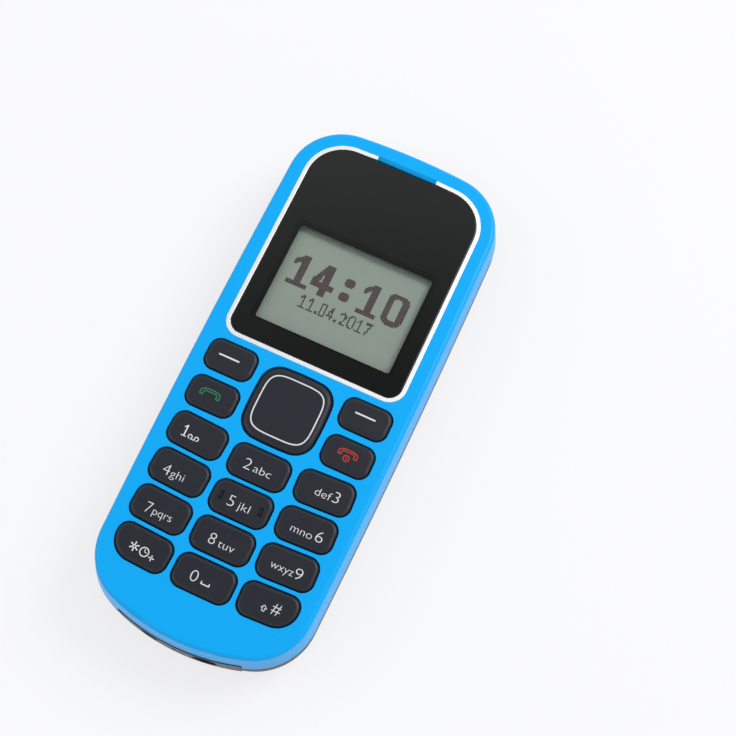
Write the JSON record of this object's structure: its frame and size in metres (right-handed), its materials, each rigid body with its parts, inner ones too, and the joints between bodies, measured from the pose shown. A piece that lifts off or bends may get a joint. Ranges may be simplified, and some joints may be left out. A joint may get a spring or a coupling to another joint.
{
  "type": "feature phone",
  "caption": "Bar-shaped feature phone with a display under a trimmed lens, a keypad with a square scroll key, and a lift-off rear cover over the battery.",
  "frame": {"origin": "middle of the footprint, on the surface that the phone lies on with its face up", "axes": "+Z out of the face, +Y towards the earpiece end, +X to the right of the keypad seen from the face"},
  "size_m": [0.045, 0.1078, 0.0154],
  "materials": {
    "blue_cover": "satin moulded polycarbonate, solid blue",
    "black_shell": "satin moulded polycarbonate, black",
    "black_gloss": "polished black polycarbonate",
    "key_silicone": "fine matt polycarbonate keys, near black",
    "lens_acrylic": "clear hard-coated acrylic",
    "mask_ink": "black screen-printed ink film",
    "trim_metal": "satin plated trim",
    "rubber_black": "matt black elastomer",
    "foam_grey": "grey foam",
    "mat_silicone": "translucent white silicone",
    "board_green": "solder mask over glass epoxy",
    "tin_sheet": "tin-plated sheet steel",
    "chip_black": "moulded chip packages",
    "spring_steel": "stainless spring steel",
    "lcd_cell": "liquid crystal cell with polarisers",
    "white_plastic": "white moulded plastic",
    "flex_film": "polyimide flexible circuit",
    "adhesive_white": "double-sided foam tape",
    "steel_dark": "stamped steel",
    "steel_bright": "zinc-plated steel",
    "tungsten": "sintered heavy alloy",
    "battery_can": "wrapped aluminium can",
    "battery_plastic": "black moulded cap",
    "sim_plastic": "white card plastic",
    "clear_guide": "clear acrylic light guide",
    "lamp_body": "lamp package with yellow phosphor",
    "copper_sheet": "gold-plated copper sheet"
  },
  "bodies": {
    "handset": {"front_cover": "blue_cover", "display_lens": "lens_acrylic", "lens_mask": "mask_ink", "lens_adhesive": "adhesive_white", "lens_trim": "trim_metal", "lcd_panel": "lcd_cell", "lcd_backlight": "white_plastic", "lcd_holder": "white_plastic", "lcd_gasket": "foam_grey", "lcd_flex": "flex_film", "earpiece_speaker": "steel_dark", "earpiece_gasket": "rubber_black", "earpiece_mesh": "rubber_black", "keymat": "mat_silicone", "dome_switches": "spring_steel", "keypad_lamps": "lamp_body", "main_board": "board_green", "shield_cans": "tin_sheet", "board_chips": "chip_black", "battery_connector": "black_shell", "sim_contacts": "black_shell", "sim_holder": "spring_steel", "loudspeaker": "steel_dark", "loudspeaker_foam": "foam_grey", "vibra_motor": "steel_bright", "vibra_boot": "rubber_black", "headset_jack": "black_shell", "charger_jack": "black_shell", "microphone_boot": "rubber_black", "microphone": "steel_bright", "torch_led": "lamp_body", "torch_lens": "clear_guide", "top_cap": "black_gloss", "antenna": "copper_sheet", "chassis_screws": "steel_bright", "rear_chassis": "black_shell"},
    "rear_cover": {"rear_cover": "black_shell", "loudspeaker_mesh": "rubber_black"},
    "battery": {"battery_cell": "battery_can", "battery_cap": "battery_plastic"},
    "sim_card": {"sim_card": "sim_plastic"},
    "motor_weight": {"vibra_weight": "tungsten"},
    "scroll_rocker": {"nav_rocker": "key_silicone"},
    "scroll_key": {"nav_key": "key_silicone"},
    "soft_key_left_button": {"soft_key_left": "key_silicone"},
    "soft_key_right_button": {"soft_key_right": "key_silicone"},
    "call_key_button": {"call_key": "key_silicone"},
    "end_key_button": {"end_key": "key_silicone"},
    "key_1_button": {"key_1": "key_silicone"},
    "key_2_button": {"key_2": "key_silicone"},
    "key_3_button": {"key_3": "key_silicone"},
    "key_4_button": {"key_4": "key_silicone"},
    "key_5_button": {"key_5": "key_silicone"},
    "key_6_button": {"key_6": "key_silicone"},
    "key_7_button": {"key_7": "key_silicone"},
    "key_8_button": {"key_8": "key_silicone"},
    "key_9_button": {"key_9": "key_silicone"},
    "key_star_button": {"key_star": "key_silicone"},
    "key_0_button": {"key_0": "key_silicone"},
    "key_hash_button": {"key_hash": "key_silicone"}
  },
  "joints": [
    {"name": "soft_key_left_press", "type": "slide", "parent": "handset", "child": "soft_key_left_button", "axis": [0, 0, -1], "range_m": [0, 0.0003], "stiffness_N_per_m": 5000},
    {"name": "soft_key_right_press", "type": "slide", "parent": "handset", "child": "soft_key_right_button", "axis": [0, 0, -1], "range_m": [0, 0.0003], "stiffness_N_per_m": 5000},
    {"name": "call_key_press", "type": "slide", "parent": "handset", "child": "call_key_button", "axis": [0, 0, -1], "range_m": [0, 0.0003], "stiffness_N_per_m": 5000},
    {"name": "end_key_press", "type": "slide", "parent": "handset", "child": "end_key_button", "axis": [0, 0, -1], "range_m": [0, 0.0003], "stiffness_N_per_m": 5000},
    {"name": "key_1_press", "type": "slide", "parent": "handset", "child": "key_1_button", "axis": [0, 0, -1], "range_m": [0, 0.0003], "stiffness_N_per_m": 5000},
    {"name": "key_2_press", "type": "slide", "parent": "handset", "child": "key_2_button", "axis": [0, 0, -1], "range_m": [0, 0.0003], "stiffness_N_per_m": 5000},
    {"name": "key_3_press", "type": "slide", "parent": "handset", "child": "key_3_button", "axis": [0, 0, -1], "range_m": [0, 0.0003], "stiffness_N_per_m": 5000},
    {"name": "key_4_press", "type": "slide", "parent": "handset", "child": "key_4_button", "axis": [0, 0, -1], "range_m": [0, 0.0003], "stiffness_N_per_m": 5000},
    {"name": "key_5_press", "type": "slide", "parent": "handset", "child": "key_5_button", "axis": [0, 0, -1], "range_m": [0, 0.0003], "stiffness_N_per_m": 5000},
    {"name": "key_6_press", "type": "slide", "parent": "handset", "child": "key_6_button", "axis": [0, 0, -1], "range_m": [0, 0.0003], "stiffness_N_per_m": 5000},
    {"name": "key_7_press", "type": "slide", "parent": "handset", "child": "key_7_button", "axis": [0, 0, -1], "range_m": [0, 0.0003], "stiffness_N_per_m": 5000},
    {"name": "key_8_press", "type": "slide", "parent": "handset", "child": "key_8_button", "axis": [0, 0, -1], "range_m": [0, 0.0003], "stiffness_N_per_m": 5000},
    {"name": "key_9_press", "type": "slide", "parent": "handset", "child": "key_9_button", "axis": [0, 0, -1], "range_m": [0, 0.0003], "stiffness_N_per_m": 5000},
    {"name": "key_star_press", "type": "slide", "parent": "handset", "child": "key_star_button", "axis": [0, 0, -1], "range_m": [0, 0.0003], "stiffness_N_per_m": 5000},
    {"name": "key_0_press", "type": "slide", "parent": "handset", "child": "key_0_button", "axis": [0, 0, -1], "range_m": [0, 0.0003], "stiffness_N_per_m": 5000},
    {"name": "key_hash_press", "type": "slide", "parent": "handset", "child": "key_hash_button", "axis": [0, 0, -1], "range_m": [0, 0.0003], "stiffness_N_per_m": 5000},
    {"name": "scroll_up_down", "type": "hinge", "parent": "handset", "child": "scroll_rocker", "pos_m": [0, -0.0061, 0.0121], "axis": [1, 0, 0], "range_deg": [-2, 2], "stiffness_Nm_per_rad": 0.3},
    {"name": "scroll_left_right", "type": "hinge", "parent": "scroll_rocker", "child": "scroll_key", "pos_m": [0, -0.0061, 0.0121], "axis": [0, 1, 0], "range_deg": [-2, 2], "stiffness_Nm_per_rad": 0.3},
    {"name": "cover_lift", "type": "slide", "parent": "handset", "child": "rear_cover", "axis": [0, 0, -1], "range_m": [0, 0.045]},
    {"name": "battery_lift", "type": "slide", "parent": "handset", "child": "battery", "axis": [0, 0, -1], "range_m": [0, 0.027]},
    {"name": "sim_slide", "type": "slide", "parent": "handset", "child": "sim_card", "axis": [0, 1, 0], "range_m": [0, 0.02025]},
    {"name": "motor_spin", "type": "hinge", "parent": "handset", "child": "motor_weight", "pos_m": [0.0115, 0.027, 0.0052], "axis": [0, 1, 0], "continuous": true}
  ],
  "couplings": [
    {"joint": "battery_lift", "follows": "cover_lift", "ratio": 0.6},
    {"joint": "sim_slide", "follows": "cover_lift", "ratio": 0.45}
  ]
}
